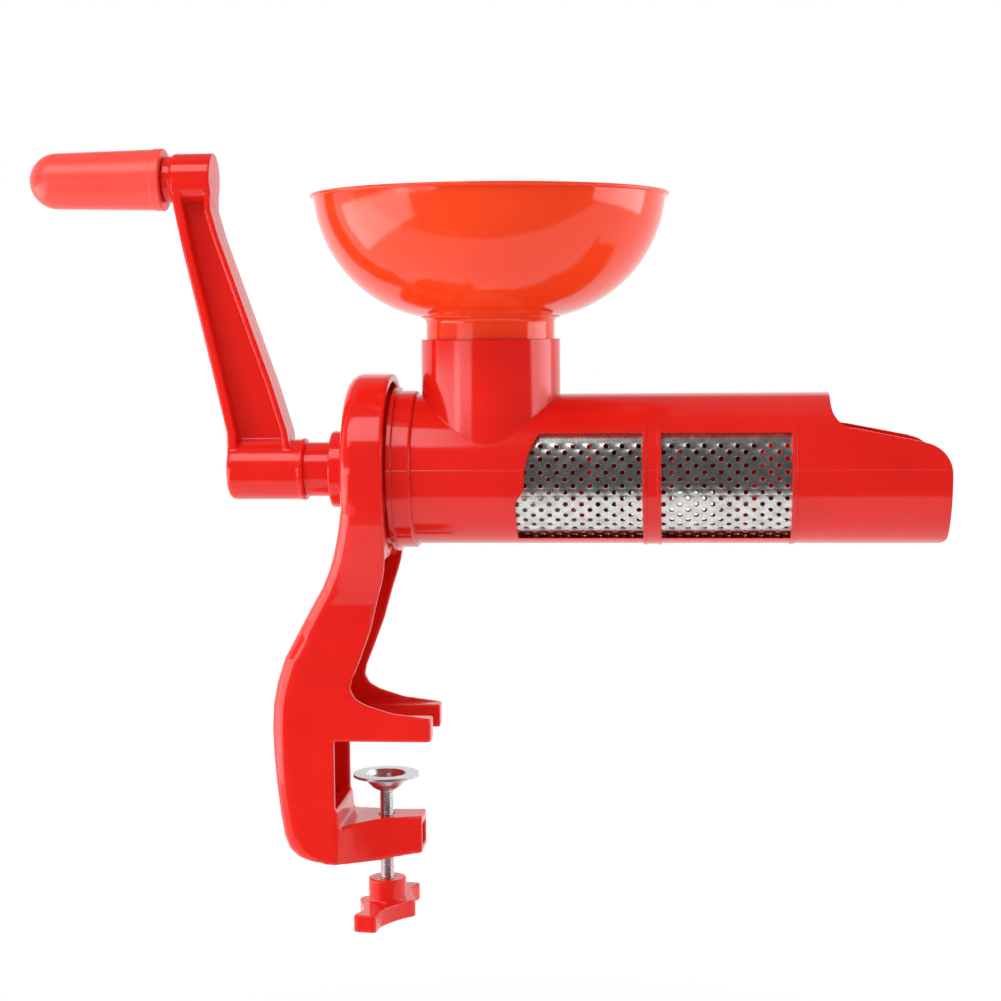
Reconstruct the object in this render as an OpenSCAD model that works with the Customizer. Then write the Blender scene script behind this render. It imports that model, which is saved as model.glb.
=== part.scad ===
// Hand-crank tomato strainer: clamp stand, barrel, hopper bowl, sieve, auger and crank.
// Millimetres. X runs along the barrel to the spout, Z is up, Z = 0 is the table top
// and the clamp screw stands on the line X = Y = 0.

/* [Barrel] */
// Outer radius of the barrel
barrel_radius = 32; // [31:0.1:33]
// Wall thickness of the barrel
barrel_wall = 2; // [1.8:0.1:2.2]
// Step of the collar over the barrel
collar_step = 1.7; // [1.4:0.05:2]
// Front edge of the collar
collar_front = 16.2; // [15:0.1:20]
// End of the spout, from the clamp screw
spout_end = 238.7; // [234:0.1:246]
// Height of the trough wall over the crank axis, where the roof ends
trough_high = 17.7; // [14:0.1:20]
// Height of the trough wall over the crank axis, at the spout corner
trough_low = 12.2; // [11:0.1:13]
// Radius of the upper spout corner
spout_corner = 13; // [11:0.5:15]
// Radius between the roof's end and the trough wall
trough_curve = 10; // [8:0.5:12]
// Left end of the side windows
window_start = 63.6; // [61:0.1:66]
// Length of one side window
window_length = 49.1; // [46:0.1:52]
// Width of the ring rib between the windows
rib_width = 7.7; // [6:0.1:9]
// Top of the side windows, over the crank axis
window_top = 16.2; // [14:0.1:18]
// Height of the ribs' upper ends over the crank axis
rib_top = 20.5; // [18:0.5:24]
// Bottom of the side windows, under the crank axis
window_bottom = 28.5; // [26:0.1:29]
// Width of the rubber gasket behind the barrel
gasket_width = 6; // [5:0.5:7]

/* [Feed tube and bowl] */
// Distance from the clamp screw to the feed tube
feed_x = 47.6; // [46:0.1:49]
// Outer radius of the feed tube
tube_radius = 29.65; // [29:0.05:30]
// Top of the feed tube, over the crank axis
tube_top = 55.5; // [50:0.5:60]
// Outer radius of the bowl's rim
bowl_radius = 76.2; // [73:0.1:78]
// Height of the bowl's rim over the feed tube
bowl_rise = 61.5; // [60:0.5:64]
// Radius of the bowl's curved side
bowl_curve = 56.6; // [55:0.1:58]
// Wall thickness of the bowl
bowl_wall = 2; // [1.6:0.1:2.4]

/* [Stand] */
// Height of the crank axis over the table top
axis_height = 115; // [110:0.5:120]
// Outer radius of the ring cup
ring_radius = 41; // [40.5:0.1:42]
// Depth of the ring cup along the barrel
ring_depth = 18.3; // [16:0.1:20]
// Rear face of the ring cup
ring_rear = -12.8; // [-13.5:0.1:-12]
// Wall thickness of the ring cup
ring_wall = 3.5; // [3:0.1:4]
// Outer radius of the bearing collar
bearing_radius = 16.5; // [15.5:0.1:18]
// Length of the bearing collar behind the ring
bearing_length = 8.5; // [7:0.1:9]
// Half angle of the bayonet ledges
ledge_angle = 28; // [24:1:30]
// Half width of the column and the jaws
column_half = 22.5; // [21.5:0.1:24]
// Wall thickness of the column
column_wall = 3; // [2.6:0.1:3.6]
// Reach of the upper jaw from the clamp screw
prong_reach = 22.5; // [20:0.1:25]
// Width of one prong of the upper jaw
prong_width = 10; // [8:0.5:12]
// Height of the prongs
prong_height = 9.9; // [9:0.1:11]
// Reach of the lower jaw from the clamp screw
lower_reach = 16.5; // [15:0.1:18]
// Front of the column between the jaws
throat = -19.2; // [-20:0.1:-18]

/* [Clamp screw] */
// Radius of the clamp screw
rod_radius = 3; // [2.8:0.1:3.2]
// Radius of the pressure disc
disc_radius = 14.3; // [13:0.1:15]
// Distance from the table top down to the disc's rim
disc_drop = 18; // [16:0.1:19]
// Depth of the dished disc
disc_depth = 7.3; // [6.5:0.1:7.6]
// Radius of the knob's hub
knob_hub_radius = 8.2; // [7.6:0.1:8.8]
// Half length of the knob's wings
wing_half = 28; // [26:0.5:30]
// Height of the wings
wing_height = 7.4; // [7:0.1:8]

/* [Crank] */
// Distance between the crank axis and the grip axis
crank_throw = 125; // [115:1:135]
// Radius of the crank hub
hub_radius = 13; // [12:0.1:14]
// Left end of the crank hub
hub_start = -66; // [-68:0.1:-65]
// Right end of the crank hub
hub_end = -32.4; // [-34:0.1:-31]
// Half depth of the arm's flanges
arm_half = 9.3; // [8.5:0.1:10]
// Radius of the boss at the top of the arm
boss_radius = 11; // [10:0.1:12]
// Thickness of the arm's web
web = 3; // [2.4:0.1:4]
// Length of the grip
grip_length = 59; // [55:0.5:63]
// Largest radius of the grip
grip_radius = 13; // [12.5:0.1:14]
// Radius of the spindle in the grip
spindle_radius = 6; // [5.5:0.1:6.5]
// Radius of the journal in the bearing collar
journal_radius = 11.7; // [11:0.1:12]

/* [Sieve and auger] */
// Right end of the sieve
sieve_end = 190; // [186:0.1:190.5]
// Sheet thickness of the sieve
sheet = 0.5; // [0.4:0.05:0.6]
// Radius of the drain holes
hole_radius = 1; // [0.8:0.05:1.2]
// Radius of the auger's core
core_radius = 10; // [9:0.5:12]
// Pitch of the auger's flight
flight_pitch = 35; // [30:1:40]
// Thickness of the auger's flight
flight = 3.5; // [3:0.1:4]

/* [Clearances] */
// Gap between parts that move on each other
part_gap = 0.3; // [0.2:0.05:0.4]
// Radial gap of the running fits
running_gap = 0.06; // [0.03:0.01:0.1]

/* [Hidden] */
$fn = 96;
red = [0.85, 0.10, 0.08];
orange = [0.95, 0.28, 0.12];
steel = [0.66, 0.67, 0.69];
rubber = [0.16, 0.16, 0.17];
bore_radius = barrel_radius - barrel_wall;
collar_radius = barrel_radius + collar_step;
ring_front = ring_rear + ring_depth;
cup_radius = ring_radius - ring_wall;
cup_floor = ring_rear + 3;
flange_rear = cup_floor + part_gap + 1.5;
ledge_rear = ring_front - 3;
lip_front = ring_front - 4;
lip_low = axis_height - 0.956 * ring_radius;
lug_radius = cup_radius - part_gap;
neck_radius = tube_radius - barrel_wall - part_gap;
seat_z = barrel_radius + 2.7;
roof_end = sieve_end + 0.4;
rim_height = tube_top + bowl_rise;
sieve_radius = bore_radius - 0.15;
flight_radius = sieve_radius - sheet - 0.35;
stretch = axis_height / 115;
grip_z = axis_height + crank_throw;
grip_right = hub_start - 26.7;
grip_left = grip_right - grip_length;
disc_rim = -disc_drop;
cup_bottom = disc_rim - disc_depth;
jaw_bottom = disc_rim - 36.4;
knob_top = jaw_bottom - 9.8;
wing_top = knob_top - 9.8;
knob_bottom = wing_top - wing_height;

// Turns local Z to the barrel's direction, on the crank axis.
module along(x, z = axis_height) { translate([x, 0, z]) rotate([0, 90, 0]) children(); }

// Tube or rod on the crank axis.
module ring(x0, x1, ro, ri = 0, z = axis_height) {
  along(x0, z) linear_extrude(x1 - x0) difference() {
    circle(ro);
    if (ri > 0) circle(ri);
  }
}

// Side-view outline (X, Z), y0 to y1 across.
module side(y0, y1) {
  translate([0, y1, 0]) rotate([90, 0, 0]) linear_extrude(y1 - y0) children();
}

// Smooth points through a list, k per step.
function curve(p, k, closed = false) = let(n = len(p), m = closed ? n : n - 1)
  concat([for (i = [0:m - 1], j = [0:k - 1]) let(
      a = closed ? p[(i + n - 1) % n] : p[max(i - 1, 0)], b = p[i],
      c = p[(i + 1) % n], d = closed ? p[(i + 2) % n] : p[min(i + 2, n - 1)], t = j / k)
    0.5 * (2 * b + (c - a) * t + (2 * a - 5 * b + 4 * c - d) * t * t
      + (3 * b - a - 3 * c + d) * t * t * t)],
    closed ? [] : [p[n - 1]]);

// Sector of a circle, half angle a, round the upward direction of a ring.
module sector(r, a) {
  intersection() {
    circle(r);
    polygon([[0, 0], [-2 * r * cos(a), 2 * r * sin(a)], [-2 * r, 0], [-2 * r * cos(a), -2 * r * sin(a)]]);
  }
}

// ---- stand ----

// Rear line of the column, from the ring down to the lower jaw: [X, Z].
rear_line = [for (p = [[-12.9, 108], [-13.2, 101], [-14.4, 94], [-15.9, 87], [-17.9, 79.5],
    [-20.3, 72.8], [-23.4, 66], [-27.6, 59], [-31.6, 52], [-35.4, 45.2], [-41, 34.8],
    [-44.4, 24.3], [-46.2, 15], [-46.8, 5], [-46.5, -6], [-45.4, -20], [-44, -32],
    [-42.4, -42.1], [-40.3, -47.6], [-37, -50.8], [-32.5, -52.6], [-25, -53.4]])
  [p[0], p[1] > 0 ? p[1] * stretch : p[1]]];

// Half width of the column at a height: it widens upward until it runs into the ring.
flare_low = 42 * stretch;
flare_high = axis_height - 0.208 * ring_radius;
function half_width(z) = let(t = (z - flare_low) / (flare_high - flare_low),
    top = 0.978 * ring_radius - 0.1, lean = 0.2126 * (flare_high - flare_low))
  t <= 0 ? column_half : t >= 1 ? top
    : column_half + (top - column_half) * t * t * (3 - 2 * t) + lean * t * t * (t - 1);

// Upright channel body: one level per point of the rear line, rounded rear corners.
module channel(inset, front, corner, low, high) {
  p = [for (q = rear_line) if (q[1] > low && q[1] < high) q];
  a = [for (t = [0:22.5:90]) t];
  level = function(q) let(w = half_width(q[1]) - inset) concat([[front, -w, q[1]]],
    [for (t = a) [q[0] + inset + corner * (1 - sin(t)), -w + corner * (1 - cos(t)), q[1]]],
    [for (t = a) [q[0] + inset + corner * (1 - cos(t)), w - corner * (1 - sin(t)), q[1]]],
    [[front, w, q[1]]]);
  n = 2 * len(a) + 2;
  m = len(p);
  pts = [for (q = p) each level(q)];
  polyhedron(pts, concat(
    [[for (i = [0:n - 1]) i]],
    [[for (i = [n - 1:-1:0]) (m - 1) * n + i]],
    [for (k = [0:m - 2], i = [0:n - 1]) [(k + 1) * n + i, k * n + (i + 1) % n, k * n + i]],
    [for (k = [0:m - 2], i = [0:n - 1])
      [(k + 1) * n + i, (k + 1) * n + (i + 1) % n, k * n + (i + 1) % n]]), 4);
}

// Side view of the column and the jaws.
module stand_outline() {
  polygon(concat([for (p = [[ring_front, 108], [ring_front, 92], [ring_front - 0.4, 81],
      [4.2, 73.5], [2.9, 68], [0.9, 61.5], [-2.8, 47.5], [-7.4, 35.2], [-11, 26.4],
      [-11.8, 21.9]]) [p[0], p[1] * stretch]],
    [[-9.6, 18], [-5.1, 15.5], [5.6, 12.1], [prong_reach, prong_height],
     [prong_reach, 0], [throat, 0], [throat, -19], [-17.6, -38], [-12.6, -37.1],
     [-5, -36.3], [lower_reach, -35.4],
     [lower_reach, -51.4], [7, -52.9], [-1.5, jaw_bottom + 0.1], [-10, jaw_bottom],
     [-19, jaw_bottom + 0.6], [-24, jaw_bottom + 1], [-60, jaw_bottom + 1],
     [-60, 108 * stretch]]));
}

module cup_profile() {
  difference() {
    union() {
      translate([0, ring_rear + 6]) square([ring_radius, ring_depth - 6]);
      translate([0, ring_rear]) square([ring_radius - 6, ring_depth]);
      translate([ring_radius - 6, ring_rear + 6]) circle(6, $fn = 32);
    }
    translate([-1, cup_floor]) square([cup_radius + 1, ring_depth]);
    translate([-1, ring_rear - 1]) square([journal_radius + running_gap + 1, ring_depth]);
  }
}

module clamp_stand() {
  color(red) difference() {
    union() {
      along(0) rotate_extrude() cup_profile();
      along(ledge_rear) linear_extrude(3) for (s = [90, 270]) rotate(s) difference() {
        sector(cup_radius + 1, ledge_angle);
        circle(collar_radius + part_gap);
      }
      difference() {
        ring(ring_rear - bearing_length, cup_floor - 1, bearing_radius,
             journal_radius + running_gap);
        ring(ring_rear - bearing_length + 2, ring_rear - 2, journal_radius + 2.2);
      }
      difference() {
        intersection() {
          channel(0, 30, 8, -56, 200);
          side(-ring_radius, ring_radius) difference() {
            stand_outline();
            translate([throat, -80]) square([80, 80]);
          }
        }
        difference() {
          channel(column_wall, 40, 5.5, -36, 81 * stretch);
          translate([lip_front - 4, -60, lip_low]) cube([4, 120, 20]);
        }
        ring(ring_rear + 1, 40, ring_radius - 1);
        ring(ring_rear - 30, ring_rear + 2, bearing_radius - 0.5);
      }
      difference() {
        side(-column_half, column_half)
          polygon([[-22, 0], [prong_reach, 0], [prong_reach, prong_height],
                   [-12, prong_height], [-22, 3]]);
        side(prong_width - column_half, column_half - prong_width)
          translate([-12, -1]) square([60, 30]);
        side(-column_half, column_half) translate([-30, 3]) square([18, 20]);
        for (s = [-1, 1]) translate([prong_reach, s * column_half, -1]) difference() {
          translate([-2, -2, 0]) cube([4, 4, 30]);
          translate([-2, -2 * s, -1]) cylinder(r = 2, h = 40);
        }
      }
      intersection() {
        side(-column_half, column_half) stand_outline();
        translate([0, 0, -60]) linear_extrude(30) jaw_plan();
      }
    }
    for (s = [-1, 1]) translate([prong_reach, s * column_half, -1]) difference() {
      translate([-2, -2, 0]) cube([4, 4, 30]);
      translate([-2, -2 * s, -1]) cylinder(r = 2, h = 40);
    }
    translate([lip_front, -0.57 * ring_radius, axis_height - ring_radius - 1])
      cube([40, 1.14 * ring_radius, 0.17 * ring_radius + 1]);
    translate([cup_floor + 3.8, -0.57 * ring_radius, lip_low - 6])
      cube([40, 1.14 * ring_radius, 6]);
    translate([0, 0, -70]) cylinder(r = rod_radius + part_gap, h = 50);
    translate([-5.2, -5.15, -49.2]) cube([40, 10.3, 9.5]);
    translate([-38, -14, -46]) cube([14, 28, 15]);
  }
}

// Plan of the lower jaw, which narrows to its end.
module jaw_plan() {
  half = [for (p = curve([[-20, column_half], [-18, column_half - 0.6], [-13.8, 18.1],
    [-10, 15.5], [-4.3, 12.2], [3, 9.3], [9.6, 8.4], [lower_reach, 8.2]], 3)) p];
  n = len(half);
  translate([-24, -column_half]) square([4.1, 2 * column_half]);
  polygon(concat(half, [for (i = [n - 1:-1:0]) [half[i][0], -half[i][1]]]));
}

module body_gasket() {
  color(rubber) ring(cup_floor + part_gap, flange_rear, lug_radius - 1,
                     lug_radius - 1 - gasket_width);
}

module shaft_seal() {
  color(rubber) ring(ring_rear - bearing_length + 2, ring_rear - 2, journal_radius + 2.2,
                     journal_radius + running_gap);
}

// ---- body ----

module trough_cut() {
  c = spout_end - spout_corner;
  r = trough_curve;
  polygon(concat([[roof_end, 60]], [for (t = [0:10:90])
      [roof_end + r * (1 - cos(t)), trough_high + r * (1 - sin(t))]],
    [[c + 2.3, trough_low], [spout_end + 20, trough_low - 3.2], [spout_end + 20, 60]]));
  translate([c, trough_low - spout_corner]) difference() {
    translate([2, 0]) square([40, spout_corner + 4]);
    circle(spout_corner);
  }
  translate([spout_end - 4, 4 - barrel_radius]) difference() {
    translate([0, -20]) square([40, 20]);
    circle(4);
  }
}

module window_cut() {
  x1 = window_start + window_length;
  x2 = x1 + rib_width;
  polygon([[window_start - 3.7, -window_bottom], [window_start - 3.7, -12.5],
    [window_start, -7], [window_start, -3], [window_start + 0.6, 3],
    [window_start + 2.2, 9], [window_start + 4.6, 13.6], [window_start + 6.3, window_top],
    [x1, window_top], [x1, -window_bottom]]);
  translate([x2, -window_bottom])
    square([window_length + 4.5, window_top + window_bottom]);
}

module body_housing() {
  x1 = window_start + window_length;
  x2 = x1 + rib_width;
  x3 = x2 + window_length + 4.5;
  color(red) difference() {
    union() {
      along(0) rotate_extrude() union() {
        difference() {
          translate([bore_radius, flange_rear])
            square([collar_radius - bore_radius, collar_front - flange_rear]);
          translate([collar_radius - 1, collar_front - 1]) difference() {
            square(2);
            circle(1);
          }
        }
        translate([bore_radius, flange_rear])
          square([lug_radius - 2.2 - bore_radius, 2.5]);
        translate([bore_radius, ring_front + 0.8])
          square([collar_radius + 1.5 - bore_radius, 2]);
        translate([bore_radius, collar_front - 0.5])
          square([barrel_wall, spout_end - collar_front + 0.5]);
        translate([bore_radius - 1.4, sieve_end + 0.2]) square([2, 1.8]);
      }
      difference() {
        along(0) rotate_extrude() translate([bore_radius, 0]) union() {
          for (x = [x1, x2 - 1.6]) translate([0, x]) square([barrel_wall + 0.6, 1.6]);
          translate([0, x1 + 1]) square([barrel_wall + 0.3, rib_width - 2]);
          translate([0, x3]) square([barrel_wall + 0.4, 2]);
        }
        translate([0, -60, axis_height + rib_top]) cube([300, 120, 60]);
      }
      along(flange_rear) linear_extrude(ledge_rear - part_gap - flange_rear)
        for (s = [90, 270]) rotate(s) difference() {
          sector(lug_radius, ledge_angle - 3);
          circle(collar_radius - 1);
        }
      difference() {
        translate([feed_x, 0, axis_height]) cylinder(r = tube_radius, h = tube_top);
        ring(0, 120, bore_radius + 0.5);
      }
    }
    translate([feed_x, 0, axis_height])
      cylinder(r = neck_radius - 2.2, h = tube_top + 10);
    translate([feed_x, 0, axis_height + seat_z])
      cylinder(r = neck_radius + part_gap, h = tube_top);
    for (s = [-1, 1]) translate([0, 0, axis_height])
      side(s > 0 ? 5 : -60, s > 0 ? 60 : -5) window_cut();
    translate([0, 0, axis_height]) side(-60, 60) trough_cut();
  }
}

module hopper_bowl() {
  cx = bowl_radius - 1.4 - bowl_curve;
  cz = rim_height + 3.6;
  bottom = seat_z + part_gap;
  color(orange) translate([feed_x, 0, axis_height]) rotate_extrude() union() {
    intersection() {
      translate([cx, cz]) difference() {
        circle(bowl_curve);
        circle(bowl_curve - bowl_wall);
      }
      translate([neck_radius - bowl_wall, bottom]) square([90, rim_height - bottom]);
    }
    translate([neck_radius - bowl_wall, bottom])
      square([bowl_wall, cz - sqrt(pow(bowl_curve - bowl_wall, 2)
        - pow(neck_radius - bowl_wall - cx, 2)) - bottom]);
    translate([neck_radius - 0.1, cz - sqrt(pow(bowl_curve, 2)
        - pow(neck_radius - cx, 2)) - 2.4]) difference() {
      square([2.5, 3.2]);
      translate([2.5, 0]) circle(2.4);
    }
    translate([bowl_radius - 3, rim_height - 1.5]) square([2.25, 1.5]);
    translate([bowl_radius - 0.75, rim_height - 0.75]) circle(0.75);
  }
}

module sieve_tube() {
  first = window_start - 7;
  color(steel) difference() {
    ring(first, sieve_end, sieve_radius, sieve_radius - sheet);
    translate([feed_x, 0, axis_height]) cylinder(r = neck_radius, h = 60);
    for (i = [0:19]) translate([0, 0, axis_height]) rotate([9 + i * 18, 0, 0])
      for (k = [0:6]) translate([window_start + 7.4 + 16.2 * k + 8.1 * (i % 2), 0, 26])
        cylinder(r = hole_radius, h = 8);
  }
}

// ---- auger and crank ----

module auger() {
  start = cup_floor + part_gap + 1.5;
  front = sieve_end - 2.5;
  color(red) difference() {
    union() {
      ring(hub_end, start + 0.1, journal_radius);
      ring(start, start + 3, 18);
      ring(start + 2, front, core_radius);
      along(hub_start + 8) linear_extrude(hub_end - hub_start - 7.9) square(13, center = true);
      along(start + 2) linear_extrude(front - start - 2,
          twist = 360 * (front - start - 2) / flight_pitch, slices = 100, convexity = 8, $fn = 12)
        polygon(concat([[0, 0]], [for (k = [-4:4]) let(a = 45 * k * flight / flight_pitch)
          flight_radius * [-cos(a), sin(a)]]));
    }
    ring(hub_start, hub_end - 8, 4);
  }
}

module thrust_washer() {
  color([0.93, 0.93, 0.90])
    ring(cup_floor + part_gap, cup_floor + part_gap + 1.5, 18, journal_radius + 0.1);
}

module shaft_insert() {
  color([0.75, 0.62, 0.30]) ring(hub_start + 8, hub_end - 12, 4, 2);
}

module crank_washer() {
  color(steel) ring(hub_start + 5, hub_start + 6.5, 6.4, 2.2);
}

module crank_bolt() {
  color(steel) difference() {
    union() {
      ring(hub_start + 1.2, hub_start + 5, 4.4);
      ring(hub_start + 4, hub_end - 14, 2);
    }
    along(hub_start + 1) linear_extrude(2.4) circle(1.9, $fn = 6);
  }
}

// Outline of the arm, between the hub and the upper boss.
function arm_edge(x, z) = [x, axis_height + z * crank_throw / 125];
arm_left = [arm_edge(hub_start + 0.2, 0), arm_edge(hub_start + 0.2, 16),
            arm_edge(-71.9, 43.8), arm_edge(-83.8, 96.2), arm_edge(-86.9, 112), arm_edge(-88, 120)];
arm_right = [arm_edge(-71, 125), arm_edge(-71.2, 111.6), arm_edge(-67.9, 99.8),
             arm_edge(-45.7, 36.4), arm_edge(-39.7, 16.7), arm_edge(-38.2, 6)];

module arm_flange(line, dx) {
  n = len(line);
  side(-arm_half, arm_half) polygon(concat(line,
    [for (i = [n - 1:-1:0]) line[i] + [dx, 0]]));
}

module crank_arm() {
  color(red) difference() {
    union() {
      along(0) rotate_extrude() difference() {
        translate([0, hub_start]) square([hub_radius, hub_end - hub_start]);
        translate([hub_radius - 2.5, hub_start + 2.5]) difference() {
          translate([0, -4]) square([4, 4]);
          circle(2.5);
        }
      }
      ring(hub_end - 2, hub_end - 0.4, hub_radius + 0.4);
      ring(hub_start - 22, hub_start - 5, boss_radius, 0, grip_z);
      ring(grip_right + part_gap, hub_start - 21, boss_radius - 1, 0, grip_z);
      ring(grip_left + 4.5, grip_right + 1, spindle_radius, 0, grip_z);
      ring(grip_left + 11, grip_left + 14, spindle_radius + 1.2, 0, grip_z);
      side(-web / 2, web / 2) polygon(concat(arm_left, arm_right));
      arm_flange(arm_left, 3.9);
      arm_flange(arm_right, -2.7);
    }
    ring(hub_start - 1, hub_start + 6.5, 6.6);
    along(hub_start + 6) linear_extrude(3) circle(3);
    along(hub_start + 8) linear_extrude(60) square(13, center = true);
  }
}

module grip() {
  color(orange) along(0, grip_z) rotate_extrude() difference() {
    union() {
      translate([0, grip_left + 12]) intersection() {
        circle(12);
        translate([0, -20]) square([20, 20]);
      }
      polygon([[0, grip_left + 11.8], [12, grip_left + 12], [grip_radius, grip_right - 4],
        [grip_radius + 0.3, grip_right - 3.7], [grip_radius + 0.3, grip_right - 0.3],
        [grip_radius, grip_right], [0, grip_right]]);
    }
    translate([-1, grip_left + 4]) square([spindle_radius + running_gap + 1, grip_length]);
    translate([-1, grip_left + 10.7]) square([spindle_radius + 2.5, 3.6]);
  }
}

// ---- clamp screw ----

module clamp_screw() {
  color(steel) union() {
    translate([0, 0, knob_bottom]) cylinder(r = rod_radius, h = cup_bottom - part_gap - knob_bottom);
    translate([0, 0, cup_bottom - 1]) cylinder(r = rod_radius - 0.6, h = 4);
    translate([0, 0, cup_bottom + 1.2 + part_gap]) cylinder(r1 = rod_radius + 1, r2 = rod_radius, h = 1.8);
    translate([0, 0, knob_bottom + 0.3]) cylinder(r = 5.77, h = 4, $fn = 6);
  }
}

module clamp_disc() {
  color(steel) translate([0, 0, cup_bottom]) rotate_extrude() difference() {
    union() {
      square([3.9, 1.2]);
      polygon([[3.8, 0], [4.6, 0.3], [6.2, 1.4], [7.8, 3.1], [8.9, 4.7], [9.6, disc_depth - 1.2],
        [disc_radius, disc_depth - 1.2], [disc_radius, disc_depth], [8.8, disc_depth],
        [8, 5.3], [6.9, 3.7], [5.4, 2.2], [3.8, 1.2]]);
    }
    translate([-1, -1]) square([rod_radius - 0.6 + running_gap + 1, 4]);
  }
}

module wing_plan() {
  half = [[-10.8, -26.4], [-6.4, -27.6], [-1.8, -28], [-0.9, -24.5], [-0.3, -19.5],
    [2.2, -14.2], [5.6, -8.8], [8.9, -4.9], [12.1, -1.6], [11.6, 2.9], [9.7, 9.5], [8.3, 17],
    [9.5, 21.5]];
  s = wing_half / 28;
  polygon(curve([for (k = [1, -1], p = half) [k * p[0], k * p[1] * s]], 3, true));
}

module clamp_knob() {
  color(red) difference() {
    union() {
      translate([0, 0, wing_top - 0.1]) cylinder(r = knob_hub_radius, h = knob_top - wing_top + 0.1);
      translate([0, 0, knob_bottom]) linear_extrude(wing_height) wing_plan();
    }
    translate([0, 0, knob_bottom - 1]) cylinder(r = rod_radius, h = 40);
    translate([0, 0, knob_bottom - 1]) cylinder(r = 5.77, h = 5.3, $fn = 6);
  }
}

module clamp_nut() {
  color(steel) difference() {
    translate([-5, -5, -49.1]) cube([10, 10, 9.3]);
    translate([0, 0, -60]) cylinder(r = rod_radius + running_gap, h = 30);
  }
}

clamp_stand();
body_housing();
hopper_bowl();
sieve_tube();
auger();
crank_arm();
grip();
clamp_screw();
clamp_disc();
clamp_knob();
clamp_nut();
body_gasket();
shaft_seal();
thrust_washer();
shaft_insert();
crank_bolt();
crank_washer();
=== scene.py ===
"""Looks of the hand-crank tomato strainer: camera, studio, materials and finer pieces.

Lengths are in metres, in the part's own frame.
"""
import math

import bmesh
import bpy
from mathutils import Matrix, Vector


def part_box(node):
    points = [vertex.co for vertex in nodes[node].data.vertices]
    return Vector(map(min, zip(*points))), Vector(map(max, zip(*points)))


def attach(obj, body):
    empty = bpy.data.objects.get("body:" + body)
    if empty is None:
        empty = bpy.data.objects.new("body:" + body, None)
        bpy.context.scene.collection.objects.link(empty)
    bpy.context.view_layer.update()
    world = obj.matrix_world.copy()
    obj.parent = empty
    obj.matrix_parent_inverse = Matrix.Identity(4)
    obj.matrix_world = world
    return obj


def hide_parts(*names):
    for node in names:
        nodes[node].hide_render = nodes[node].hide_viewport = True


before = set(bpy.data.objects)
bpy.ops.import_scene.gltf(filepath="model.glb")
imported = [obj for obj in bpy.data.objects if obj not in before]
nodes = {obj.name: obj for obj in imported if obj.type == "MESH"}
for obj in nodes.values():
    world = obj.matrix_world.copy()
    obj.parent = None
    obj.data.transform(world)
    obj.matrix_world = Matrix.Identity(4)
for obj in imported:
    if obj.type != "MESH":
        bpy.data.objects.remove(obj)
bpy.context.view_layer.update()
scene = bpy.context.scene
scene.view_settings.view_transform = "Standard"

AXIS = 0.115  # height of the crank axis

# ---------------------------------------------------------------- camera
CAMERA_TARGET, CAMERA_DISTANCE = Vector((0.0512, 0.0, 0.10125)), 0.88
CAMERA_AZIMUTH, CAMERA_ELEVATION, CAMERA_ROLL = (math.radians(a) for a in (5.0, 4.7, 0.5))
CAMERA_LENS_MM, CAMERA_SENSOR_MM = 73.6, 36.0
CAMERA_NEAR, CAMERA_FAR = 0.01, 50.0


def make_camera():
    level = math.cos(CAMERA_ELEVATION)
    back = Vector((math.sin(CAMERA_AZIMUTH) * level, -math.cos(CAMERA_AZIMUTH) * level,
                   math.sin(CAMERA_ELEVATION)))
    right = Vector((math.cos(CAMERA_AZIMUTH), math.sin(CAMERA_AZIMUTH), 0.0))
    up = back.cross(right)
    tilted_right = right * math.cos(CAMERA_ROLL) - up * math.sin(CAMERA_ROLL)
    tilted_up = up * math.cos(CAMERA_ROLL) + right * math.sin(CAMERA_ROLL)
    data = bpy.data.cameras.new("camera")
    data.lens, data.sensor_width = CAMERA_LENS_MM, CAMERA_SENSOR_MM
    data.clip_start, data.clip_end = CAMERA_NEAR, CAMERA_FAR
    cam = bpy.data.objects.new("camera", data)
    scene.collection.objects.link(cam)
    turn = Matrix((tilted_right, tilted_up, back)).transposed().to_4x4()
    cam.matrix_world = Matrix.Translation(CAMERA_TARGET + back * CAMERA_DISTANCE) @ turn
    scene.camera = cam


make_camera()


# ---------------------------------------------------------------- node helpers
def grey(level):
    return (level, level, level)


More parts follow.
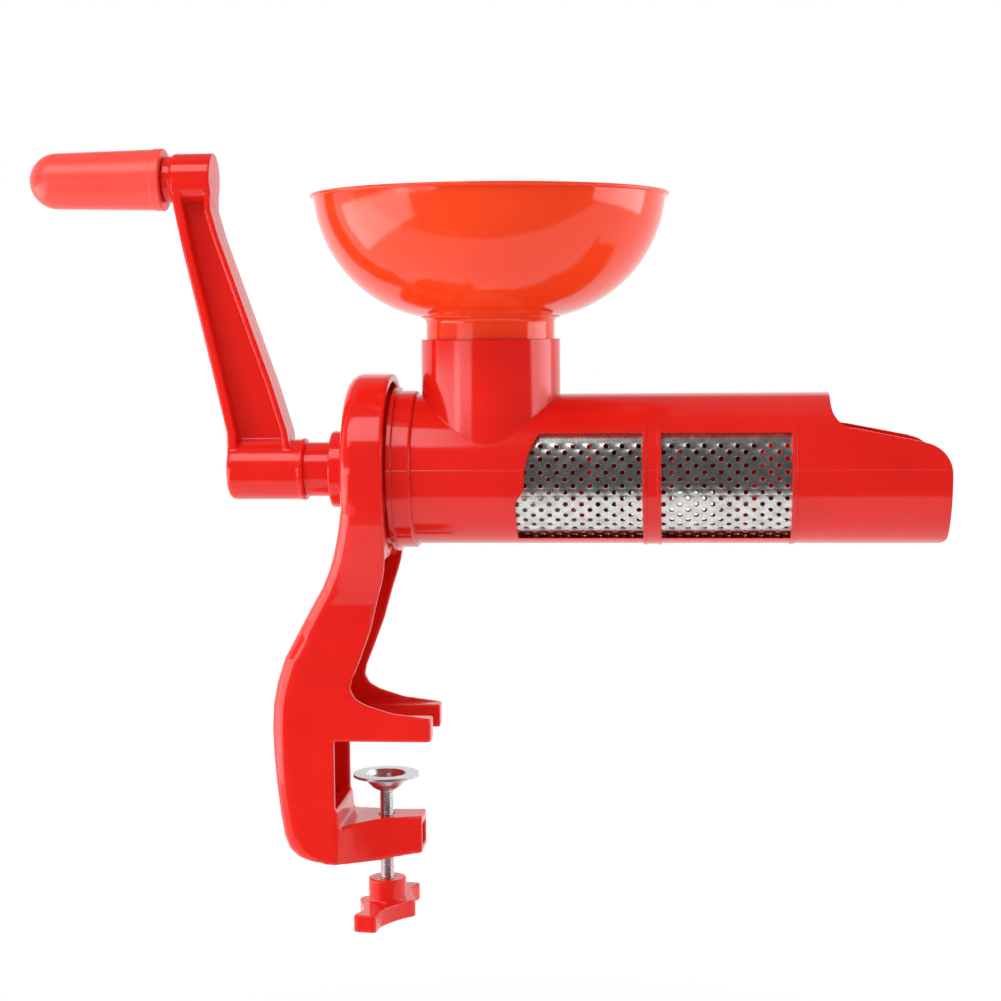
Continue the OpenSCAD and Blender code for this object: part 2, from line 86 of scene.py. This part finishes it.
class Tree:
    """Makes and links the nodes of one shader tree."""

    def __init__(self, tree):
        self.tree = tree
        tree.nodes.clear()

    def add(self, kind, **settings):
        """A new node; each setting is one of its properties or the value of an input."""
        node = self.tree.nodes.new("ShaderNode" + kind)
        for key, value in settings.items():
            if hasattr(node, key):
                setattr(node, key, value)
            else:
                node.inputs[key.replace("_", " ")].default_value = value
        return node

    def link(self, a, b):
        self.tree.links.new(a, b)

    def math(self, operation, a, b=0.5, c=None, clamp=False):
        node = self.add("Math", operation=operation, use_clamp=clamp)
        for i, value in enumerate((a, b) if c is None else (a, b, c)):
            if isinstance(value, (int, float)):
                node.inputs[i].default_value = value
            else:
                self.link(value, node.inputs[i])
        return node.outputs[0]

    def noise(self, where, scale, detail=2.0, rough=0.5):
        node = self.add("TexNoise", Scale=scale, Detail=detail, Roughness=rough)
        self.link(where, node.inputs["Vector"])
        return node.outputs["Fac"]

    def stretched(self, where, **settings):
        node = self.add("Mapping", **settings)
        self.link(where, node.inputs["Vector"])
        return node.outputs[0]

    def ramp(self, value, stops):
        node = self.add("ValToRGB")
        elements = node.color_ramp.elements
        while len(elements) < len(stops):
            elements.new(0.5)
        for element, (position, colour) in zip(elements, stops):
            element.position = position
            element.color = (*colour, 1.0)
        self.link(value, node.inputs["Fac"])
        return node.outputs["Color"]

    def rounded_edges(self, radius):
        return self.add("Bevel", samples=4, Radius=radius).outputs[0]

    def bump(self, height, strength, distance, normal=None):
        node = self.add("Bump", Strength=strength, Distance=distance)
        self.link(height, node.inputs["Height"])
        if normal is not None:
            self.link(normal, node.inputs["Normal"])
        return node.outputs["Normal"]


def new_material(name):
    material = bpy.data.materials.new(name)
    material.use_nodes = True
    tree = Tree(material.node_tree)
    output = tree.add("OutputMaterial")
    shader = tree.add("BsdfPrincipled")
    tree.link(shader.outputs[0], output.inputs["Surface"])
    where = tree.add("TexCoord").outputs["Object"]
    return material, tree, shader, where


# ---------------------------------------------------------------- materials
PLASTIC_IOR = 1.49
SCATTER_RADIUS, SCATTER_SCALE = (1.0, 0.25, 0.12), 0.004
SCUFF_SCALE, SCUFF_TURN = (1.0, 1.0, 9.0), (0.5, 0.9, 0.3)
WEAR_DROP, WEAR_SPREAD = 0.03, 0.06  # roughness taken off a plastic, and added by its noise
FLOW_DEPTH, GRAIN_DEPTH = 0.0012, 0.00012
SEAM_HALF_WIDTH, SEAM_DEPTH = 0.00028, 0.0003
POLISH_DROP, POLISH_SPREAD = 0.08, 0.14  # the same for a metal
DRAWING_SCALE, DRAWING_DEPTH = (30.0, 30.0, 900.0), 0.0001
GRIT_SPREAD, GRIT_DEPTH = 0.2, 0.0001


def plastic(name, colour, deep, rough=0.10, edge=0.0007, wave=0.10, grain=0.06, scatter=0.08,
            seam=None):
    """Moulded polypropylene: flow waves, fine grain, hairline scuffs and rounded edges.

    seam gives the coordinate's index and value where the mould's halves leave their line.
    """
    material, t, shader, where = new_material(name)
    shader.inputs["IOR"].default_value = PLASTIC_IOR
    shader.inputs["Subsurface Weight"].default_value = scatter
    shader.inputs["Subsurface Radius"].default_value = SCATTER_RADIUS
    shader.inputs["Subsurface Scale"].default_value = SCATTER_SCALE
    cloud = t.noise(where, scale=22.0, detail=3.0, rough=0.55)
    fine = t.noise(where, scale=900.0, detail=2.0, rough=0.6)
    tone = t.math("ADD", t.math("MULTIPLY", cloud, 0.8), t.math("MULTIPLY", fine, 0.2))
    t.link(t.ramp(tone, [(0.30, deep), (0.62, colour)]), shader.inputs["Base Color"])
    flow = t.noise(where, scale=30.0, detail=1.0, rough=0.4)
    streaks = t.stretched(where, Scale=SCUFF_SCALE, Rotation=SCUFF_TURN)
    scuff = t.noise(streaks, scale=420.0, detail=4.0, rough=0.65)
    wear = t.math("MULTIPLY", t.math("ADD", flow, scuff), WEAR_SPREAD)
    t.link(t.math("ADD", rough - WEAR_DROP, wear), shader.inputs["Roughness"])
    normal = t.bump(flow, wave, FLOW_DEPTH, t.rounded_edges(edge))
    normal = t.bump(fine, grain, GRAIN_DEPTH, normal)
    if seam is not None:
        split = t.add("SeparateXYZ")
        t.link(where, split.inputs[0])
        off = t.math("ABSOLUTE", t.math("SUBTRACT", split.outputs[seam[0]], seam[1]))
        line = t.math("SUBTRACT", 1.0, t.math("DIVIDE", off, SEAM_HALF_WIDTH), clamp=True)
        normal = t.bump(line, 0.5, SEAM_DEPTH, normal)
    t.link(normal, shader.inputs["Normal"])
    return material


def metal(name, colour, deep, rough, scale=260.0, edge=0.0002):
    """Sheet or drawn metal: mottled tone, uneven polish and fine drawing lines."""
    material, t, shader, where = new_material(name)
    shader.inputs["Metallic"].default_value = 1.0
    patch = t.noise(where, scale, detail=5.0, rough=0.7)
    t.link(t.ramp(patch, [(0.34, deep), (0.62, colour)]), shader.inputs["Base Color"])
    lines = t.stretched(where, Scale=DRAWING_SCALE)
    drawn = t.noise(lines, scale=1.0, detail=3.0, rough=0.6)
    marks = t.math("ADD", patch, drawn)
    polish = t.math("MULTIPLY", marks, POLISH_SPREAD)
    t.link(t.math("ADD", rough - POLISH_DROP, polish), shader.inputs["Roughness"])
    t.link(t.bump(marks, 0.15, DRAWING_DEPTH, t.rounded_edges(edge)), shader.inputs["Normal"])
    return material


def matte(name, colour, deep, rough):
    """Rubber or nylon with a fine grit."""
    material, t, shader, where = new_material(name)
    grit = t.noise(where, scale=700.0, detail=4.0, rough=0.6)
    t.link(t.ramp(grit, [(0.3, deep), (0.7, colour)]), shader.inputs["Base Color"])
    uneven = t.math("MULTIPLY", grit, GRIT_SPREAD)
    t.link(t.math("ADD", rough, uneven), shader.inputs["Roughness"])
    t.link(t.bump(grit, 0.3, GRIT_DEPTH), shader.inputs["Normal"])
    return material


RED, RED_DEEP = (0.77, 0.014, 0.008), (0.68, 0.010, 0.006)
ORANGE, ORANGE_DEEP = (0.92, 0.060, 0.012), (0.86, 0.046, 0.010)
CORAL, CORAL_DEEP = (0.92, 0.070, 0.048), (0.86, 0.054, 0.038)

red_body = plastic("red_barrel", RED, RED_DEEP, seam=(2, AXIS + 0.0013))
red_stand = plastic("red_stand", RED, RED_DEEP)
red_crank = plastic("red_crank", RED, RED_DEEP, seam=(1, 0.0))
red_knob = plastic("red_knob", RED, RED_DEEP, edge=0.0012)
red_auger = plastic("red_auger", RED, RED_DEEP, edge=0.0003)
orange_bowl = plastic("orange_bowl", ORANGE, ORANGE_DEEP, rough=0.08, edge=0.0004, wave=0.16)
orange_grip = plastic("orange_grip", CORAL, CORAL_DEEP, rough=0.28, wave=0.05, grain=0.20)
sieve_steel = metal("sieve_steel", (0.78, 0.77, 0.75), (0.50, 0.49, 0.48), rough=0.20)
zinc = metal("zinc_steel", (0.78, 0.78, 0.80), (0.55, 0.55, 0.57), rough=0.24, scale=420.0)
brass = metal("turned_brass", (0.80, 0.60, 0.26), (0.62, 0.43, 0.16), rough=0.26)
black_rubber = matte("black_rubber", (0.030, 0.030, 0.032), (0.012, 0.012, 0.013), 0.55)
nylon = matte("white_nylon", (0.80, 0.80, 0.76), (0.70, 0.70, 0.66), 0.35)

LOOKS = {
    "clamp_stand": red_stand, "body_housing": red_body, "hopper_bowl": orange_bowl,
    "sieve_tube": sieve_steel, "auger": red_auger, "crank_arm": red_crank, "grip": orange_grip,
    "clamp_screw": zinc, "clamp_disc": zinc, "clamp_knob": red_knob, "clamp_nut": zinc,
    "body_gasket": black_rubber, "shaft_seal": black_rubber, "thrust_washer": nylon,
    "shaft_insert": brass, "crank_bolt": zinc, "crank_washer": zinc,
}
for node_name, look in LOOKS.items():
    nodes[node_name].data.materials.clear()
    nodes[node_name].data.materials.append(look)

# ---------------------------------------------------------------- finer pieces
SAME_POINT = 0.00002  # points nearer than this are one point


def new_piece(name, points, faces, material, body, slot, *replaced):
    mesh = bpy.data.meshes.new(name)
    mesh.from_pydata(points, [], faces)
    mesh.materials.append(material)
    piece = bpy.data.objects.new(name, mesh)
    scene.collection.objects.link(piece)
    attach(piece, body)
    if replaced:
        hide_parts(*replaced)
    return piece


def smooth(piece, sharp_angle=None):
    for polygon in piece.data.polygons:
        polygon.use_smooth = True
    if sharp_angle is not None:
        piece.data.set_sharp_from_angle(angle=math.radians(sharp_angle))


def apply_modifiers(piece):
    shaped = bpy.data.meshes.new_from_object(
        piece.evaluated_get(bpy.context.evaluated_depsgraph_get()))
    piece.modifiers.clear()
    piece.data = shaped


def join_points(piece, same_side=False):
    """Merges doubled points and, if asked, turns all the faces to one side."""
    shape = bmesh.new()
    shape.from_mesh(piece.data)
    bmesh.ops.remove_doubles(shape, verts=shape.verts, dist=SAME_POINT)
    if same_side:
        bmesh.ops.recalc_face_normals(shape, faces=shape.faces)
    shape.to_mesh(piece.data)
    shape.free()


def moulded(name, node, material, body, voxel, rounds, keep):
    """A moulding with softly rounded edges, made from the node's own solid."""
    source = nodes[node].data
    points = [v.co.copy() for v in source.vertices]
    piece = new_piece(name, points, [tuple(p.vertices) for p in source.polygons], material, body,
                      "red_plastic", node)
    join_points(piece)
    remesh = piece.modifiers.new("remesh", "REMESH")
    remesh.mode, remesh.voxel_size = "VOXEL", voxel
    soften = piece.modifiers.new("soften", "SMOOTH")
    soften.factor, soften.iterations = 0.5, rounds
    piece.modifiers.new("lighter", "DECIMATE").ratio = keep
    apply_modifiers(piece)
    smooth(piece)


SIEVE_R, SHEET = 0.02979, 0.0005  # outer radius and sheet thickness of the sieve
HOLE_R, RIM_R, RIM_RISE = 0.00110, 0.00134, 0.00006  # holes and their pressed, raised rims
HOLE_SIDES = 16  # two for each of the eight points round a hole's cell
HALF_PITCH, STEP = 0.00339, math.radians(5.35)  # half the axial pitch, angle between rows
SIEVE_START, TOP_ROW = 0.05686, math.radians(21.75)  # x and angle where the pattern starts
SIEVE_ROWS, ROW_HOLES = 65, 19
SIEVE_HALVES = 2 * ROW_HOLES + 1  # half pitches across two staggered rows
SEAM_STRIPS = 4  # strips in the plain band where the sheet's ends meet
FEED_X, FEED_R = 0.0476, 0.02735  # the sheet's cut-out under the feed tube


def make_sieve():
    """Rolled sheet with staggered rows of round holes and a plain band where its ends meet."""
    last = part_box("sieve_tube")[1][0]
    points, faces, found = [], [], {}

    def point(x, angle, radius=SIEVE_R):
        key = (round(x * 1e6), round(angle * 1e5))
        if key not in found:
            found[key] = len(points)
            points.append(Vector((x, -radius * math.cos(angle),
                                  AXIS + radius * math.sin(angle))))
        return found[key]

    def across(i):
        return SIEVE_START + HALF_PITCH * i if i <= SIEVE_HALVES else last

    def holed(x, angle):
        a, b = HALF_PITCH, STEP / 2
        cell = [(a, 0), (a, b), (0, b), (-a, b), (-a, 0), (-a, -b), (0, -b), (a, -b)]
        edge = [point(x + dx, angle + da) for dx, da in cell]
        foot, hole = [], []
        for k in range(HOLE_SIDES):
            t = 2 * math.pi * k / HOLE_SIDES
            c, s = math.cos(t), math.sin(t) / SIEVE_R
            foot.append(point(x + RIM_R * c, angle + RIM_R * s))
            hole.append(point(x + HOLE_R * c, angle + HOLE_R * s, SIEVE_R + RIM_RISE))
        for k in range(len(cell)):
            n = (k + 1) % len(cell)
            faces.append((edge[k], edge[n], foot[2 * n], foot[2 * k + 1]))
            faces.append((edge[k], foot[2 * k + 1], foot[2 * k]))
        for k in range(HOLE_SIDES):
            n = (k + 1) % HOLE_SIDES
            faces.append((foot[k], foot[n], hole[n], hole[k]))

    def plain(i0, i1, a0, a1):
        faces.append((point(across(i0), a0), point(across(i1), a0), point(across(i1), a1),
                      point(across(i0), a1)))

    for row in range(SIEVE_ROWS):
        angle = TOP_ROW - STEP * row
        odd = row % 2
        for column in range(ROW_HOLES):
            holed(SIEVE_START + HALF_PITCH * (2 * column + 2 - odd), angle)
        spare = SIEVE_HALVES - 1 if odd else 0
        for half in (-1, 0):
            low = angle + half * STEP / 2
            plain(spare, spare + 1, low, low + STEP / 2)
            plain(SIEVE_HALVES, SIEVE_HALVES + 1, low, low + STEP / 2)
    start = TOP_ROW + STEP / 2
    band = 2 * math.pi - STEP * SIEVE_ROWS
    for k in range(SEAM_STRIPS):
        for i in range(SIEVE_HALVES + 1):
            plain(i, i + 1, start + band * k / SEAM_STRIPS, start + band * (k + 1) / SEAM_STRIPS)

    def under_feed(p):
        return p.z > AXIS and math.hypot(p.x - FEED_X, p.y) < FEED_R

    kept = [f for f in faces if not all(under_feed(points[i]) for i in f)]
    for i in {i for f in kept for i in f}:
        if under_feed(points[i]):
            points[i].x = FEED_X + math.sqrt(FEED_R ** 2 - points[i].y ** 2)
    piece = new_piece("sieve_sheet", points, kept, sieve_steel, "barrel", "sieve_steel",
                      "sieve_tube")
    join_points(piece, same_side=True)
    thick = piece.modifiers.new("thick", "SOLIDIFY")
    thick.thickness, thick.offset = SHEET, -1.0
    apply_modifiers(piece)
    smooth(piece, 40.0)


def stacked(name, rings, sides, body, slot, *replaced):
    """A closed zinc piece over rings of points, each with the same number of sides."""
    faces = [(i * sides + k, i * sides + (k + 1) % sides, (i + 1) * sides + (k + 1) % sides,
              (i + 1) * sides + k) for i in range(len(rings) - 1) for k in range(sides)]
    faces.append(tuple(reversed(range(sides))))
    faces.append(tuple(range((len(rings) - 1) * sides, len(rings) * sides)))
    points = [point for one in rings for point in one]
    return new_piece(name, points, faces, zinc, body, slot, *replaced)


def round_point(radius, k, sides, height):
    """Point k of a ring round the clamp screw's line."""
    a = 2 * math.pi * k / sides
    return Vector((radius * math.cos(a), radius * math.sin(a), height))


THREAD_R, THREAD_DEPTH, PITCH = 0.0030, 0.00055, 0.001
THREAD_SIDES, THREAD_STEPS = 32, 8  # points round the thread, rings per pitch
THREAD_FADE, END_TAPER = 6.0, 0.0005  # rings over which an end fades, and how much it narrows
NECK_SIDES = 64
NECK = [(0.0024, -0.0007), (0.0024, 0.0015), (0.0037, 0.0016), (0.0040, 0.0020),
        (0.0038, 0.0026), (0.0031, 0.0031), (0.0020, 0.0033), (0.0012, 0.0030),
        (0.0008, 0.0026), (0.0001, 0.0025)]  # (radius, height over the disc's lowest point)


def make_screw():
    """M6 screw: a real 1 mm thread, a reduced neck in the disc and the peened end above it."""
    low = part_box("clamp_screw")[0][2]
    disc_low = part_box("clamp_disc")[0][2]
    top = disc_low - 0.0003
    count = int((top - low) / PITCH * THREAD_STEPS)
    rings = []
    for i in range(count + 1):
        z = low + (top - low) * i / count
        fade = min(1.0, i / THREAD_FADE, (count - i) / THREAD_FADE)
        ring = []
        for k in range(THREAD_SIDES):
            phase = (z / PITCH - k / THREAD_SIDES) % 1.0
            crest = max(0.0, min(1.0, 1.25 - 2.5 * abs(phase - 0.5)))
            r = THREAD_R - THREAD_DEPTH * (1.0 - crest) * fade - END_TAPER * (1.0 - fade)
            ring.append(round_point(r, k, THREAD_SIDES, z))
        rings.append(ring)
    screw = stacked("threaded_screw", rings, THREAD_SIDES, "screw", "zinc_steel", "clamp_screw")
    smooth(screw, 45.0)
    neck = [[round_point(r, k, NECK_SIDES, disc_low + rise) for k in range(NECK_SIDES)]
            for r, rise in NECK]
    smooth(stacked("peened_end", neck, NECK_SIDES, "screw", "zinc_steel"), 60.0)


make_sieve()
make_screw()
moulded("stand_moulding", "clamp_stand", red_stand, "stand", voxel=0.0006, rounds=6, keep=0.3)
moulded("crank_moulding", "crank_arm", red_crank, "drive", voxel=0.0005, rounds=5, keep=0.3)
moulded("knob_moulding", "clamp_knob", red_knob, "screw", voxel=0.0004, rounds=6, keep=0.4)

# ---------------------------------------------------------------- studio
FLOOR_Z, TABLE_FRONT = -0.24, 0.43  # height of the floor, reach of the pale table to the front
FLOOR_HALF, FLOOR_CENTRE_X = 2.2, 0.05
SOFTBOXES = [  # name, place, point it faces, width, height, radiance
    ("softbox_front", (-0.60, -0.68, 0.98), (-0.60, -0.03, 0.13), 1.04, 0.58, 3.4),
    ("softbox_left", (-0.56, -0.23, -0.01), (0.0, -0.23, -0.01), 0.72, 0.32, 2.8),
    ("softbox_low", (-0.66, -0.80, 0.128), (0.03, 0.0, 0.15), 0.56, 0.095, 2.8),
    ("softbox_right", (0.95, 0.12, 0.22), (0.05, 0.0, 0.15), 0.80, 0.40, 3.0),
]


def seen_directly(t):
    """1 for camera, glossy and transmission rays, which see the background as painted."""
    path = t.add("LightPath")
    seen = t.math("ADD", path.outputs["Is Camera Ray"], path.outputs["Is Glossy Ray"], clamp=True)
    return path, t.math("ADD", seen, path.outputs["Is Transmission Ray"], clamp=True)


def make_world():
    """White behind the object and to the camera, a dim room in front, an even fill light."""
    world = bpy.data.worlds.new("studio")
    scene.world = world
    world.use_nodes = True
    t = Tree(world.node_tree)
    output = t.add("OutputWorld")
    white, room, fill = t.add("Background"), t.add("Background"), t.add("Background")
    white.inputs["Color"].default_value = (1.0, 1.0, 1.0, 1.0)
    split = t.add("SeparateXYZ")
    t.link(t.add("TexCoord").outputs["Generated"], split.inputs[0])
    depth = t.math("MULTIPLY_ADD", split.outputs[1], 0.5, 0.5)
    height = t.math("MULTIPLY_ADD", split.outputs[2], 0.5, 0.5)
    around = t.ramp(depth, [(0.0, grey(0.08)), (0.25, grey(0.09)), (0.50, grey(0.15)),
                            (0.55, grey(1.0))])
    above = t.ramp(height, [(0.72, grey(1.0)), (0.80, grey(0.30))])
    dim = t.add("Mix", data_type="RGBA", blend_type="DARKEN")
    dim.inputs["Factor"].default_value = 1.0
    t.link(around, dim.inputs[6])
    t.link(above, dim.inputs[7])
    t.link(dim.outputs[2], room.inputs["Color"])
    t.link(t.ramp(depth, [(0.0, grey(0.74)), (1.0, grey(0.84))]), fill.inputs["Color"])
    path, seen = seen_directly(t)
    indirect, mix = t.add("MixShader"), t.add("MixShader")
    t.link(seen, indirect.inputs[0])
    t.link(fill.outputs[0], indirect.inputs[1])
    t.link(room.outputs[0], indirect.inputs[2])
    t.link(path.outputs["Is Camera Ray"], mix.inputs[0])
    t.link(indirect.outputs[0], mix.inputs[1])
    t.link(white.outputs[0], mix.inputs[2])
    t.link(mix.outputs[0], output.inputs["Surface"])


def make_floor():
    """A pale table whose front edge lies just in front of the object; it keeps the shadow."""
    mesh = bpy.data.meshes.new("floor")
    shape = bmesh.new()
    bmesh.ops.create_grid(shape, x_segments=8, y_segments=8, size=FLOOR_HALF)
    shape.to_mesh(mesh)
    shape.free()
    floor = bpy.data.objects.new("floor", mesh)
    floor.location = (FLOOR_CENTRE_X, FLOOR_HALF - TABLE_FRONT, FLOOR_Z)
    scene.collection.objects.link(floor)
    material, t, shader, where = new_material("studio_floor")
    shader.inputs["Roughness"].default_value = 0.8
    t.link(t.ramp(t.noise(where, scale=3.0), [(0.3, grey(0.88)), (0.7, grey(0.91))]),
           shader.inputs["Base Color"])
    spot = t.add("VectorMath", operation="DISTANCE")
    spot.inputs[1].default_value = (0.0, TABLE_FRONT - FLOOR_HALF, 0.0)
    t.link(where, spot.inputs[0])
    share = t.ramp(spot.outputs["Value"], [(0.22, grey(0.45)), (0.42, grey(1.0))])
    seen = seen_directly(t)[1]
    glow, mix = t.add("Emission"), t.add("MixShader")
    t.link(t.math("MULTIPLY", seen, share), mix.inputs[0])
    t.link(shader.outputs[0], mix.inputs[1])
    t.link(glow.outputs[0], mix.inputs[2])
    output = next(n for n in material.node_tree.nodes if n.type == "OUTPUT_MATERIAL")
    t.link(mix.outputs[0], output.inputs["Surface"])
    mesh.materials.append(material)


def add_softbox(name, at, look_at, width, height, radiance):
    """One glowing rectangle, turned to the point it faces."""
    data = bpy.data.lights.new(name, "AREA")
    data.shape = "RECTANGLE"
    data.size, data.size_y = width, height
    data.energy = radiance * math.pi * width * height
    light = bpy.data.objects.new(name, data)
    light.location = at
    light.rotation_mode = "QUATERNION"
    light.rotation_quaternion = (Vector(look_at) - Vector(at)).to_track_quat("-Z", "Y")
    light.visible_camera = False
    scene.collection.objects.link(light)


make_world()
make_floor()
for softbox in SOFTBOXES:
    add_softbox(*softbox)
